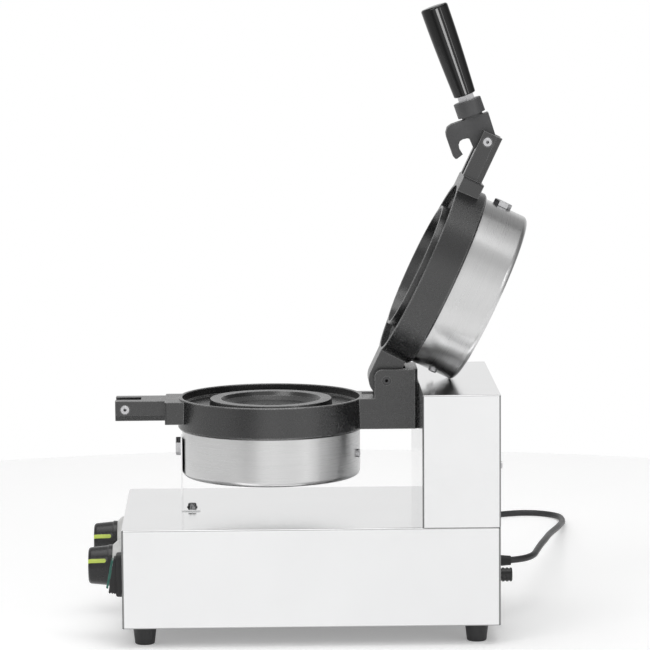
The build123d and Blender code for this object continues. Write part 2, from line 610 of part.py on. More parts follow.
def knob_parts(name, x, body_w, body_h, body_d):
    lip = KNOB_R + 0.8
    flare = -BEZEL_T / 2 - 0.1
    bezel_pts = [(4.0, 0), (BEZEL_R, 0), (BEZEL_R, flare), (lip, -BEZEL_T), (4.0, -BEZEL_T)]
    bezel = spun_y(bezel_pts, x, KNOB_Z)
    keep(name + "_bezel", bezel)
    y0 = -BEZEL_T - 0.4
    f = KNOB_FACE
    pts = [(0, y0), (lip, y0), (lip, y0 - 3.8), (KNOB_R, y0 - 4.6)]
    r = KNOB_R - 1.6
    for i in range(0, 7):
        t = radians(90 * i / 6)
        pts.append((r - 3.5 + 3.5 * cos(t), f + 3.5 - 3.5 * sin(t)))
    pts.append((0, f))
    knob = spun_y(pts, x, KNOB_Z)
    knob -= rod_y(x, KNOB_Z, SHAFT_R, SHAFT_Y0, 1)
    line_end = y0 - 6.2 - POINTER_W / 2
    line = block(4, 40, f - 2, line_end, -POINTER_W / 2, POINTER_W / 2)
    line += rod_x(line_end, 0, POINTER_W / 2, 4, 40)
    groove = Pos(x, 0, KNOB_Z) * Rot(0, -KNOB_TURN, 0) * line
    core_pts = [(0, 1), (KNOB_R - 0.9, y0 - 4.6), (r - 0.9, f + 3.5), (r - 4.2, f + 0.7), (0, f + 0.7)]
    core = spun_y(core_pts, x, KNOB_Z)
    mark = (knob & groove) - core
    knob = knob - groove + (knob & core & groove)
    keep(name + "_knob", knob)
    keep(name + "_pointer", mark)
    shaft = rod_y(x, KNOB_Z, SHAFT_R, SHAFT_Y0, SHAFT_Y1)
    keep(name + "_shaft", shaft)
    case = Pos(x, SHEET + 2 + body_d / 2, KNOB_Z) * Box(body_w, body_d, body_h)
    case = fillet(case.edges().filter_by(Axis.Y), 2.0)
    case += rod_y(x, KNOB_Z, 4.0, -BEZEL_T + 1, SHEET + 3)
    case += rod_y(x, KNOB_Z, 7.0, SHEET, SHEET + 2)
    case -= rod_y(x, KNOB_Z, SHAFT_R + SHAFT_PLAY, -BEZEL_T, SHAFT_Y1 + 1)
    keep(name + "_body", case)


knob_parts("timer", -KNOB_X, 46, 50, 42)
knob_parts("thermostat", KNOB_X, 44, 34, 34)

# Rocker switch
sx0 = SWITCH_X
sz0 = SWITCH_Z
half_w = SWITCH_HALF_W
half_h = SWITCH_HALF_H
bezel = block(sx0 - half_w, sx0 + half_w, -6.2, 0, sz0 - half_h, sz0 + half_h)
bezel = fillet(bezel.edges().filter_by(Axis.Y), 3.0)
bezel = fillet(bezel.edges().group_by(Axis.Y)[0], 2.2)
case_x = SWITCH_CASE_X
case_z = SWITCH_CASE_Z
bezel += block(sx0 - case_x, sx0 + case_x, -1, 27, sz0 - case_z, sz0 + case_z)
bezel -= block(sx0 - 7.1, sx0 + 7.1, -9, 8, sz0 - 16.0, sz0 + 16.0)
bezel -= rod_x(-4.6, sz0, 1.6, sx0 - 8.5, sx0 + 8.5)
for z in (-10, 0, 10):
    bezel += block(sx0 - 3.1, sx0 + 3.1, 26, 35, sz0 + z - 0.4, sz0 + z + 0.4)
keep("switch_bezel", bezel)
collar_pts = [(-6.2, 18.0), (-7.4, 17.4), (-8.2, 17.6), (-13.6, -16.4), (-12.4, -17.8), (-11.0, -16.8)]
collar_pts += [(-9.8, -18.2), (-8.6, -17.0), (-7.4, -18.4), (-6.2, -17.6)]
ring = prism_x([(y, sz0 + z) for y, z in collar_pts], sx0 - 8.8, sx0 + 8.8)
ring -= block(sx0 - 7.1, sx0 + 7.1, -20, 0, sz0 - 16.4, sz0 + 16.4)
keep("switch_collar", ring)
paddle = block(sx0 - 6.6, sx0 + 6.6, -13.6, -11.4, sz0 - 14.6, sz0 + 14.6)
paddle = fillet(paddle.edges().filter_by(Axis.X).group_by(Axis.Y)[0], 0.8)
paddle += block(sx0 - 6.6, sx0 + 6.6, -12, -3.2, sz0 - 4.5, sz0 + 4.5)
paddle += rod_x(-4.6, sz0, 1.5, sx0 - 8.4, sx0 + 8.4)
paddle = paddle.rotate(Axis((0, -4.6, sz0), (1, 0, 0)), -ROCK)
keep("switch_paddle", paddle)

# Rear fittings
wall_in = HOUSING_D - SHEET
gland = block(GLAND_X - 8.5, GLAND_X + 8.5, HOUSING_D, HOUSING_D + 9, GLAND_Z - 6.0, GLAND_Z + 6.0)
gland = fillet(gland.edges().filter_by(Axis.Y), 2.0)
gland += rod_y(GLAND_X, GLAND_Z, GLAND_R, wall_in - 6, HOUSING_D)
sleeve = [(0, HOUSING_D + 8), (CORD_R + 2.4, HOUSING_D + 8)]
sleeve += [(CORD_R + 1.4, HOUSING_D + 21), (0, HOUSING_D + 21)]
gland += spun_y(sleeve, GLAND_X, GLAND_Z)
gland += rod_y(GLAND_X, GLAND_Z, 9.0, wall_in - 5, wall_in)
gland -= rod_y(GLAND_X, GLAND_Z, CORD_R, wall_in - 20, HOUSING_D + 40)
keep("cord_gland", gland)

cap_z = CAP_Z
cap = rod_y(CAP_X, cap_z, 7.2, HOUSING_D, HOUSING_D + 4.5)
for i in range(3):
    cap += rod_y(CAP_X, cap_z, 6.4, HOUSING_D + 4.5 + 4 * i, HOUSING_D + 6.1 + 4 * i)
    cap += rod_y(CAP_X, cap_z, 7.2, HOUSING_D + 6.1 + 4 * i, HOUSING_D + 8.5 + 4 * i)
cap = fillet(cap.edges().filter_by(GeomType.CIRCLE).sort_by(Axis.Y)[-1], 1.2)
cap -= rod_y(CAP_X, cap_z, CUTOUT_R, HOUSING_D - 1, HOUSING_D + 12)
keep("reset_cap", cap)
cutout = rod_y(CAP_X, cap_z, CUTOUT_R, wall_in - 1, HOUSING_D + 8)
cutout += block(CAP_X - 12, CAP_X + 12, wall_in - 30, wall_in, cap_z - 15, cap_z + 15)
keep("thermal_cutout", cutout)

TERM_Y = HOUSING_D - TERM_FROM_REAR
TERM_Z = HOUSING_Z + BOTTOM_T
term = block(-34, 34, TERM_Y, TERM_Y + 22, TERM_Z, TERM_Z + 20)
for i in range(6):
    x = -27.5 + 11 * i
    term -= block(x - 4, x + 4, TERM_Y - 1, TERM_Y + 6, TERM_Z + 8, TERM_Z + 22)
    term -= block(x - 4, x + 4, TERM_Y + 16, TERM_Y + 23, TERM_Z + 8, TERM_Z + 22)
keep("terminal_block", term)


# Power cord: a run of straight pieces and arcs, then a coil and a plug on the table
def tube(points, r, start_dir):
    radii = []
    for i in range(1, len(points) - 1):
        a = Vector(points[i]) - Vector(points[i - 1])
        b = Vector(points[i + 1]) - Vector(points[i])
        bend = radians(a.get_angle(b))
        radii.append(0.45 * min(a.length, b.length) / tan(bend / 2))
    path = FilletPolyline(*points, radius=radii)
    ends = Plane(origin=points[0], z_dir=start_dir)
    print("cord radii", [round(v) for v in radii], "length", round(path.length))
    body = sweep(ends * Circle(r), path=path)
    print("cord volume", round(body.volume), "expected", round(pi * r * r * path.length))
    return body


cord_start = HOUSING_D - SHEET - 10
COIL_X = -205.0
COIL_Y = 200.0
COIL_Z = CORD_R
COIL_STEP = 2 * CORD_R + 0.8
COIL_OUT = 47.0
COIL_IN = 29.6
COIL_DIP = 2.0
LAYER_TURNS = 2.0
ENTRY_DEG = 75.0


def coil_point(t):
    # t counts turns: an inward layer on the table, half a turn that climbs, an outward layer on top
    rise = min(max((t - LAYER_TURNS) / 0.5, 0.0), 1.0)
    smooth = rise * rise * (3 - 2 * rise)
    inward = COIL_OUT - COIL_STEP * min(t, LAYER_TURNS)
    r = inward + (COIL_IN - inward) * smooth - COIL_DIP * sin(pi * rise)
    if t > LAYER_TURNS + 0.5:
        r = COIL_IN + COIL_STEP * (t - LAYER_TURNS - 0.5)
    phi = radians(ENTRY_DEG - 360 * t)
    return Vector(COIL_X + r * cos(phi), COIL_Y + r * sin(phi), COIL_Z + (2 * CORD_R + 0.7) * smooth)


def coil_way(t):
    return (coil_point(t + 0.001) - coil_point(t - 0.001)).normalized()


def biarc(p0, t0, p1, t1):
    # two tangent arcs between two points with given directions
    v = p1 - p0
    s = t0 + t1
    a = 2 * (1 - t0.dot(t1))
    b = 2 * v.dot(s)
    c = -v.dot(v)
    d = -c / b if a < 1e-9 else (-b + sqrt(b * b - 4 * a * c)) / (2 * a)
    mid = (p0 + t0 * d + p1 - t1 * d) * 0.5
    return [TangentArc(p0, mid, tangent=t0), TangentArc(p1, mid, tangent=t1 * -1)]


entry = coil_point(0)
entry_way = Vector(sin(radians(ENTRY_DEG)), -cos(radians(ENTRY_DEG)), 0)
lead = entry - entry_way * 60
cord_pts = [(GLAND_X, cord_start, GLAND_Z), (GLAND_X, 433, GLAND_Z), (-106, 431, 56.5)]
cord_pts += [(-190, 448, 49.5), (-280, 464, 39.5), (-370, 478, 28.5), (-460, 489, 17.0), (-545, 500, 5.5)]
cord_pts += [(-600, 500, CORD_R), (-625, 462, CORD_R), (-602, 412, CORD_R), (-545, 376, CORD_R)]
cord_pts += [(-470, 347, CORD_R), (-390, 316, CORD_R), (-318, 281, CORD_R)]
cord_pts += [tuple(lead), tuple(entry)]
keep("power_cord", tube(cord_pts, CORD_R, (0, 1, 0)))

TURNS = 2 * LAYER_TURNS + 0.5
stops = [i / 4 for i in range(int(TURNS * 4) + 1)]
ways = [entry_way] + [coil_way(t) for t in stops[1:-1]]
end_phi = radians(ENTRY_DEG - 360 * TURNS)
end_way = Vector(sin(end_phi), -cos(end_phi), 0)
ways.append(end_way)
arcs = []
for k in range(len(stops) - 1):
    arcs += biarc(coil_point(stops[k]), ways[k], coil_point(stops[k + 1]), ways[k + 1])
coil_end = coil_point(TURNS)
plug_at = coil_end + end_way * 52 + Vector(0, 0, PLUG_R - coil_end.Z)
arcs += biarc(coil_end, end_way, plug_at, end_way)
coil_path = Wire(arcs)
coil = sweep(Plane(origin=entry, z_dir=entry_way) * Circle(CORD_R), path=coil_path)
coil_size = pi * CORD_R ** 2 * coil_path.length
print("coil volume", round(coil.volume), "expected", round(coil_size), "length", round(coil_path.length))
samples = [(t / 200, coil_point(t / 200)) for t in range(int(TURNS * 200) + 1)]
least = min((b - a).length for i, (ta, a) in enumerate(samples) for tb, b in samples[i + 60:])
print("least coil gap", round(least - 2 * CORD_R, 2))
keep("power_cord_coil", coil)

# Plug, lying on the table behind the machine
turn_z = degrees(atan2(end_way.Y, end_way.X))
plug_place = Location((plug_at.X, plug_at.Y, PLUG_R), (0, 0, turn_z))
plug_wide = PLUG_FACE - PLUG_CONE
body = Rot(0, 90, 0) * (Pos(0, 0, PLUG_CONE / 2) * Cone(6.0, 13.5, PLUG_CONE))
body += Rot(0, 90, 0) * (Pos(0, 0, PLUG_CONE + plug_wide / 2) * Cylinder(PLUG_R, plug_wide))
body = fillet(body.edges().filter_by(GeomType.CIRCLE).group_by(Axis.X)[-1], 1.5)
for sy in (-1, 1):
    body -= block(PLUG_CONE - 1, PLUG_FACE + 1, sy * (PLUG_R - 2.2), sy * (PLUG_R + 2), -3.5, 3.5)
body_at = body.moved(plug_place)
pins = []
for sy in (-1, 1):
    p = rod_y(sy * PLUG_PIN_X, 0, 2.4, PLUG_FACE - 6, PLUG_FACE + PLUG_PIN_L)
    p = fillet(p.edges().filter_by(GeomType.CIRCLE).group_by(Axis.Y)[-1], 1.2)
    pins.append(one((Rot(0, 0, -90) * p).moved(plug_place)))
    body_at = body_at - pins[-1]
keep("plug_body", body_at)
keep("plug_pins", Compound(pins))

box = Compound([s for n, s in nodes.items() if not n.startswith(("power_cord", "plug"))]).bounding_box()
print("box", [round(v, 2) for v in (*box.min, *box.max)])
print("shift", round(SHIFT, 3), "pivot open", round(pivot_open_y + SHIFT, 3), round(pivot_open_z, 3))
print("axis", round(AXIS_Y + SHIFT, 3), round(AXIS_Z, 3))
print("catch", round(CATCH_Y + SHIFT, 3), round(catch_z, 3))
for name, shape in nodes.items():
    export_step(shape, "parts/" + name + ".step")
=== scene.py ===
"""Looks of a countertop burger press, laid out as a Blender add-on and run as a script.

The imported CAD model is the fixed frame: every length here is in metres in its axes, +Z up, -Y towards
the user, +X to the user's right. Each operator dresses one piece or one group of like pieces.
"""

import bpy
import numpy as np
from math import cos, pi, radians, sin
from mathutils import Matrix, Vector


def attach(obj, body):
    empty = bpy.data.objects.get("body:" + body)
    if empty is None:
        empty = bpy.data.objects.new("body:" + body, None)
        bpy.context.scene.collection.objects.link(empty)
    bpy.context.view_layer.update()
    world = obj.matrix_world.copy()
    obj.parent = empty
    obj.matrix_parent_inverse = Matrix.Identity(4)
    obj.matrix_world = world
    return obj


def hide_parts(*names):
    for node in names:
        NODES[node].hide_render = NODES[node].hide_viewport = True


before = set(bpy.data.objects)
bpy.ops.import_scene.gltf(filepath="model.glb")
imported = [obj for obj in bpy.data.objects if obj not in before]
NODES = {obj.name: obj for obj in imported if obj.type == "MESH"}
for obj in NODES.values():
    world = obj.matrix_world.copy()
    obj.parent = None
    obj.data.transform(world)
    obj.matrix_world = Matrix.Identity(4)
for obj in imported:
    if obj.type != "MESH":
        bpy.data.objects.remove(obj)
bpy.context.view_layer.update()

bl_info = {
    "name": "Burger press",
    "version": (1, 0, 0),
    "blender": (4, 5, 0),
    "location": "3D View > Sidebar > Burger press",
    "description": "Dresses the packed burger press with detailed surfaces and materials",
    "category": "Object",
}

# The cord's route counts Y from the housing's front wall. This is how far the whole part is then moved
# along Y, which puts the middle of its footprint on the origin.
SHIFT_Y = -0.189806
# How far the open lid leans from its closed place, about X.
LID_LEAN = radians(115.4)
# A painted shade along the housing's bottom edge fades out between these heights.
BOTTOM_SHADE_FROM, BOTTOM_SHADE_TO = 0.0198, 0.0208


# Meshes


def mesh_object(name, points, faces, crease=35.0):
    """A mesh object of points and a list of face index arrays, smooth except over sharp edges."""
    mesh = bpy.data.meshes.new(name)
    mesh.from_pydata(points.tolist(), [], [f for block in faces for f in block.tolist()])
    mesh.validate()
    mesh.polygons.foreach_set("use_smooth", np.ones(len(mesh.polygons), bool))
    mesh.set_sharp_from_angle(angle=radians(crease))
    mesh.update()
    thing = bpy.data.objects.new(name, mesh)
    bpy.context.scene.collection.objects.link(thing)
    return thing


def lathe(name, profile, place, around=96, crease=35.0):
    """The profile of (radius, height) turned about the local Z axis of place.

    A point is (r cos a, r sin a, h) for a = 2 pi i / around; a radius of zero gives one pole point.
    """
    angle = np.arange(around) * 2 * pi / around
    ring = np.stack([np.cos(angle), np.sin(angle)], 1)
    points, starts, sizes, count = [], [], [], 0
    for r, h in profile:
        if r < 1e-9:
            points.append(np.array([[0, 0, h]]))
        else:
            points.append(np.hstack([ring * r, np.full((around, 1), h)]))
        starts.append(count)
        sizes.append(len(points[-1]))
        count += sizes[-1]
    k = np.arange(around)
    faces = []
    for (a, na), (b, nb) in zip(zip(starts, sizes), zip(starts[1:], sizes[1:])):
        low = [a + k, a + (k + 1) % around] if na > 1 else [np.full(around, a)]
        high = [b + (k + 1) % around, b + k] if nb > 1 else [np.full(around, b)]
        faces.append(np.stack(low + high, 1))
    xyz = np.vstack(points)
    matrix = np.array(place)
    xyz = xyz @ matrix[:3, :3].T + matrix[:3, 3]
    return mesh_object(name, xyz, faces, crease)


# Materials


WHITE = (1.0, 1.0, 1.0)


def grey(level):
    return (level, level, level)


def shade(colour, change):
    """The colour made lighter or darker by a factor."""
    return tuple(min(1.0, c * change) for c in colour[:3])


class Paint:
    """A material's node tree with short ways to add the nodes that these finishes share."""

    def __init__(self, name):
        self.material = bpy.data.materials.new(name)
        self.material.use_nodes = True
        self.tree = self.material.node_tree
        self.shader = self.tree.nodes["Principled BSDF"]
        self.where = self.tree.nodes.new("ShaderNodeTexCoord").outputs["Object"]

    def set(self, **values):
        """Sets sockets of the shader itself; an underscore stands for a space in a socket's name."""
        for key, value in values.items():
            self.shader.inputs[key.replace("_", " ")].default_value = value
        return self

    def node(self, kind, **values):
        """A new node with its sockets or, where it has none of that name, its settings."""
        node = self.tree.nodes.new(kind)
        for key, value in values.items():
            if key in node.inputs.keys():
                node.inputs[key].default_value = value
            else:
                setattr(node, key, value)
        return node

    def link(self, a, b):
        self.tree.links.new(a, b)

    def stretched(self, scale, tilt=0.0):
        """Object coordinates turned back by tilt about X, then multiplied by scale."""
        mapping = self.node("ShaderNodeMapping", vector_type="TEXTURE")
        mapping.inputs["Scale"].default_value = [1 / k for k in scale]
        mapping.inputs["Rotation"].default_value = (tilt, 0, 0)
        self.link(self.where, mapping.inputs["Vector"])
        return mapping.outputs["Vector"]

    def noise(self, scale, detail=3.0, vector=None, rough=0.5):
        node = self.node("ShaderNodeTexNoise", Scale=scale, Detail=detail, Roughness=rough)
        self.link(vector or self.where, node.inputs["Vector"])
        return node.outputs["Fac"]

    def ramp(self, factor, stops):
        """Colours between stops of (factor, colour)."""
        node = self.node("ShaderNodeValToRGB")
        elements = node.color_ramp.elements
        while len(elements) < len(stops):
            elements.new(0.5)
        for element, (at, colour) in zip(elements, stops):
            element.position = at
            element.color = (*colour, 1)
        self.link(factor, node.inputs["Fac"])
        return node.outputs["Color"]

    def colour(self, factor, stops):
        """The base colour, from a ramp."""
        self.link(self.ramp(factor, stops), self.shader.inputs["Base Color"])
        return self

    def math(self, operation, a, b=None):
        """One operation on one or two outputs."""
        node = self.node("ShaderNodeMath", operation=operation)
        self.link(a, node.inputs[0])
        if b is not None:
            self.link(b, node.inputs[1])
        return node.outputs[0]

    def mix(self, operation, a, b):
        """Two colours put together channel by channel."""
        node = self.node("ShaderNodeVectorMath", operation=operation)
        self.link(a, node.inputs[0])
        self.link(b, node.inputs[1])
        return node.outputs[0]

    def spread(self, value, low, high):
        """From 0 at low to 1 at high, held outside them."""
        node = self.node("ShaderNodeMapRange")
        node.inputs["From Min"].default_value = low
        node.inputs["From Max"].default_value = high
        self.link(value, node.inputs["Value"])
        return node.outputs["Result"]

    def parts(self, vector):
        """The X, Y and Z outputs of a vector."""
        node = self.node("ShaderNodeSeparateXYZ")
        self.link(vector, node.inputs[0])
        return node.outputs

    def edges(self, radius, low, high):
        """From 0 on flat places to 1 on edges.

        It is the cosine between the face's own normal and one rounded over radius, spread from high
        to low.
        """
        soft = self.node("ShaderNodeBevel", samples=4, Radius=radius)
        level = self.node("ShaderNodeVectorMath", operation="DOT_PRODUCT")
        self.link(soft.outputs["Normal"], level.inputs[0])
        self.link(self.node("ShaderNodeNewGeometry").outputs["Normal"], level.inputs[1])
        return self.spread(level.outputs["Value"], high, low)

    def gloss(self, factor, low, high):
        """Roughness between low and high."""
        node = self.node("ShaderNodeMapRange")
        node.inputs["To Min"].default_value = low
        node.inputs["To Max"].default_value = high
        self.link(factor, node.inputs["Value"])
        self.link(node.outputs["Result"], self.shader.inputs["Roughness"])
        return self

    def bump(self, height, distance, strength=1.0):
        """Fine relief, distance deep."""
        node = self.node("ShaderNodeBump", Strength=strength, Distance=distance)
        self.link(height, node.inputs["Height"])
        self.link(node.outputs["Normal"], self.shader.inputs["Normal"])
        return self


def polished_sheet(name, colours, side_shade=1.0):
    """Polished stainless sheet: nearly a mirror, with a faint haze and very shallow waves.

    Painted shade darkens its seams and its bends, the upright ones most, and its lowest millimetre
    along the bottom edge. Faces square to X take a painted shade, dimmed to the level given last, for
    a piece whose edge should show dark there.
    """
    p = Paint(name).set(Metallic=1.0)
    haze = p.noise(14.0, 5.0)
    clean = p.ramp(haze, [(0.3, shade(colours.sheet, 0.97)), (0.7, shade(colours.sheet, 1.0))])
    normal = p.parts(p.node("ShaderNodeNewGeometry").outputs["True Normal"])
    sideways = p.math("ABSOLUTE", normal["X"])
    # painted shade in seams, where the surroundings shut the surface in; faces square to X take it
    # sooner
    seam_shade = p.node("ShaderNodeMath", operation="MULTIPLY_ADD")
    seam_shade.inputs[1].default_value = -0.5
    p.link(sideways, seam_shade.inputs[0])
    p.link(p.node("ShaderNodeAmbientOcclusion", samples=6, Distance=0.003).outputs["AO"], seam_shade.inputs[2])
    # painted shade along the lowest millimetre of the sheet
    low = p.spread(p.parts(p.where)["Z"], BOTTOM_SHADE_FROM, BOTTOM_SHADE_TO)
    # painted shades, multiplied in: seams, faces square to X, the bottom edge
    layers = [p.ramp(seam_shade.outputs[0], [(0.0, grey(0.22)), (0.14, WHITE)]),
              p.ramp(sideways, [(0.7, WHITE), (0.9, grey(side_shade))]),
              p.ramp(low, [(0.0, grey(0.35)), (1.0, WHITE)])]
    # painted shade on bends, darkest on upright ones: a bend's normal lies between two axes: round an
    # upright bend X and Y, along the top X and Z
    for other, dark in (("Y", 0.25), ("Z", 0.72)):
        slant = p.math("ABSOLUTE", p.math("MULTIPLY", normal["X"], normal[other]))
        layers.append(p.ramp(slant, [(0.10, WHITE), (0.28, grey(dark))]))
    for layer in layers:
        clean = p.mix("MULTIPLY", clean, layer)
    p.link(clean, p.shader.inputs["Base Color"])
    p.gloss(p.noise(900.0, 2.0, p.stretched((0.03, 1, 1))), 0.10, 0.17)
    p.bump(p.noise(5.0, 1.0), 0.0004, 0.25)
    return p.material


def coated_casting(colours):
    """Cast aluminium under a black non-stick coating: fine sand grain, softly uneven gloss."""
    p = Paint("coated_casting").set(Specular_IOR_Level=1.0)
    cloud = p.noise(30.0, 6.0)
    coat = p.ramp(cloud, [(0.3, shade(colours.coating, 0.8)), (0.75, shade(colours.coating, 1.25))])
    # the edges are lighter in patches: partly wear, partly a painted highlight
    patches = p.math("MULTIPLY", p.edges(0.0014, 0.90, 0.99), p.noise(70.0, 2.0))
    worn_and_lit_edges = p.ramp(patches, [(0.12, grey(0.0)), (0.55, grey(0.24))])
    p.link(p.mix("ADD", coat, worn_and_lit_edges), p.shader.inputs["Base Color"])
    p.gloss(p.noise(220.0, 3.0), 0.22, 0.33)
    p.bump(p.noise(1300.0, 3.0), 0.00015, 0.4)
    return p.material


def brushed_casing(name, colours, tilt):
    """Brushed stainless cup: hair lines run round its axis, which leans by tilt about X."""
    p = Paint(name).set(Metallic=1.0, Anisotropic=0.7)
    lines = p.noise(1.0, 4.0, p.stretched((14, 14, 2600), -tilt), 0.7)
    p.colour(lines, [(0.25, shade(colours.casing, 0.92)), (0.75, shade(colours.casing, 1.06))])
    p.gloss(lines, 0.24, 0.33)
    p.bump(lines, 0.00003, 0.4)
    # the brushing spreads reflections along the cup's axis; the slant keeps it off the flat end's normal
    along = p.node("ShaderNodeVectorTransform", vector_type="VECTOR", convert_from="OBJECT",
                   convert_to="WORLD")
    along.inputs[0].default_value = (0.05, sin(tilt), cos(tilt))
    p.link(along.outputs[0], p.shader.inputs["Tangent"])
    return p.material


def bright_fixing(colours):
    """Zinc plated steel of bolts and pins, faintly cloudy."""
    p = Paint("bright_fixing").set(Metallic=1.0)
    cloud = p.noise(400.0, 4.0)
    p.colour(cloud, [(0.3, shade(colours.fixing, 0.85)), (0.7, shade(colours.fixing, 1.05))])
    p.gloss(cloud, 0.32, 0.46)
    return p.material


def dark_fixing(colours):
    """Darker oxidised steel of the strip's screw."""
    p = Paint("dark_fixing").set(Metallic=1.0)
    cloud = p.noise(500.0, 4.0)
    p.colour(cloud, [(0.35, shade(colours.fixing, 0.25)), (0.65, shade(colours.fixing, 0.6))])
    p.gloss(cloud, 0.22, 0.36)
    return p.material


def satin_black_steel(colours):
    """Latch steel with a satin black coat, a fine grain and rubbed lighter patches."""
    p = Paint("satin_black_steel").set(Specular_IOR_Level=0.6)
    cloud = p.noise(60.0, 6.0)
    p.colour(cloud, [(0.35, shade(colours.latch, 0.85)), (0.75, shade(colours.latch, 1.2))])
    p.gloss(p.noise(300.0, 3.0), 0.36, 0.5)
    p.bump(p.noise(2200.0, 2.0), 0.00012, 0.4)
    return p.material


def gloss_plastic(name, colour, low=0.06, high=0.14, sheen=0.5):
    """Glossy moulded plastic with a faint polish variation; sheen is how strongly it mirrors."""
    p = Paint(name).set(Specular_IOR_Level=sheen)
    cloud = p.noise(90.0, 3.0)
    p.colour(cloud, [(0.3, shade(colour, 0.9)), (0.7, shade(colour, 1.1))])
    p.gloss(p.noise(260.0, 4.0), low, high)
    p.bump(p.noise(1200.0, 2.0), 0.00003, 0.3)
    return p.material


def matte_plastic(name, colour, grain=2600.0):
    """Moulded plastic or rubber with a fine spark-eroded grain."""
    p = Paint(name)
    cloud = p.noise(120.0, 4.0)
    p.colour(cloud, [(0.3, shade(colour, 0.85)), (0.7, shade(colour, 1.15))])
    p.gloss(p.noise(500.0, 3.0), 0.45, 0.62)
    p.bump(p.noise(grain, 2.0), 0.0001, 0.5)
    return p.material


def green_lens(colours):
    """Translucent green rocker paddle."""
    p = Paint("green_lens").set(Roughness=0.12, Transmission_Weight=0.45, IOR=1.49)
    p.colour(p.noise(200.0, 2.0), [(0.3, shade(colours.lens, 0.9)), (0.7, shade(colours.lens, 1.1))])
    return p.material


def cord_rubber(colours):
    """Black rubber sheath of the mains lead, with faint lengthwise scuffs."""
    p = Paint("cord_rubber")
    scuff = p.noise(160.0, 5.0)
    p.colour(scuff, [(0.35, shade(colours.rubber, 0.85)), (0.8, shade(colours.rubber, 1.35))])
    p.gloss(scuff, 0.38, 0.55)
    p.bump(p.noise(1800.0, 2.0), 0.00006, 0.4)
    return p.material


# Settings that a user would change


def colour_prop(name, default, description):
    """A colour setting."""
    return bpy.props.FloatVectorProperty(
        name=name, description=description, subtype="COLOR", size=3, min=0, max=1, default=default)


class PRESS_PG_colours(bpy.types.PropertyGroup):
    """Base colours of the finishes."""

    sheet: colour_prop("Sheet", (0.825, 0.827, 0.83), "Polished housing and tower sheet")
    coating: colour_prop("Coating", (0.009, 0.009, 0.0095), "Non-stick coating of the plates")
    casing: colour_prop("Casing", (0.66, 0.66, 0.66), "Brushed cups round the plates")
    fixing: colour_prop("Fixings", (0.62, 0.62, 0.63), "Bolts, screws, nut and pins")
    latch: colour_prop("Latch", (0.06, 0.06, 0.062), "Latch hook and its boss")
    black: colour_prop("Black plastic", (0.009, 0.009, 0.0095), "Handle grip and knobs")
    line: colour_prop("Pointer line", (0.50, 0.62, 0.09), "Inlaid line of the knobs")
    bezel: colour_prop("Bezel", (0.62, 0.62, 0.61), "Flared rings behind the knobs")
    lens: colour_prop("Paddle", (0.03, 0.20, 0.15), "Rocker switch paddle")
    rubber: colour_prop("Rubber", (0.02, 0.02, 0.021), "Feet, cord and plug")


class PRESS_PG_sizes(bpy.types.PropertyGroup):
    """Sizes of what scene.py shapes itself."""

    cord_diameter: bpy.props.FloatProperty(
        name="Cord diameter", description="Outer diameter of the mains lead", unit="LENGTH",
        default=0.007, min=0.004, max=0.012)
    coil_radius: bpy.props.FloatProperty(
        name="Coil radius", description="Outer turn of the put-away coil, on its centre line",
        unit="LENGTH", default=0.047, min=0.035, max=0.07)


def colours():
    return bpy.context.scene.press_colours


def sizes():
    return bpy.context.scene.press_sizes


def dress(material, *names):
    """The CAD nodes keep their shape and take this material."""
    for name in names:
        slots = NODES[name].data.materials
        slots.clear()
        slots.append(material)


# Pieces


class PRESS_OT_housing(bpy.types.Operator):
    """Polished housing, tower, rear cover, bottom plate and support strip"""

    bl_idname = "press.housing"
    bl_label = "Housing and tower"

    def execute(self, context):
        dress(polished_sheet("polished_sheet", colours()), "housing_shell", "tower_shell",
              "bottom_plate", "support_strip")
        # the cover's faces square to X take a painted shade
        dress(polished_sheet("polished_cover", colours(), 0.3), "tower_rear_cover")
        return {"FINISHED"}


class PRESS_OT_plates(bpy.types.Operator):
    """Coated castings with their brushed cups"""

    bl_idname = "press.plates"
    bl_label = "Plates and casings"

    def execute(self, context):
        dress(coated_casting(colours()), "lower_plate", "upper_plate")
        dress(brushed_casing("brushed_lower", colours(), 0.0), "lower_casing")
        dress(brushed_casing("brushed_upper", colours(), LID_LEAN), "upper_casing")
        dress(matte_plastic("heater_tube", (0.08, 0.075, 0.07)), "lower_heater", "upper_heater")
        return {"FINISHED"}


class PRESS_OT_fixings(bpy.types.Operator):
    """Bolts, screws, pins and the handle's stud and nut"""

    bl_idname = "press.fixings"
    bl_label = "Fixings"

    def execute(self, context):
        dress(dark_fixing(colours()), "support_strip_screw")
        dress(bright_fixing(colours()), "foot_screws", "rear_cover_screws", "tower_fixing_screws",
              "lower_casing_bolt", "lower_casing_screws", "hinge_block_bolts", "upper_casing_bolt",
              "upper_casing_screws", "latch_pivot_pin", "catch_pin", "handle_stud",
              "handle_nut", "timer_shaft", "thermostat_shaft")
        return {"FINISHED"}


class PRESS_OT_latch(bpy.types.Operator):
    """Latch hook with its boss and the handle grip"""

    bl_idname = "press.latch"
    bl_label = "Latch and handle"

    def execute(self, context):
        dress(satin_black_steel(colours()), "latch_hook", "hinge_pin")
        grip = gloss_plastic("grip_plastic", shade(colours().black, 0.3), 0.06, 0.11, 0.45)
        dress(grip, "handle_grip")
        return {"FINISHED"}


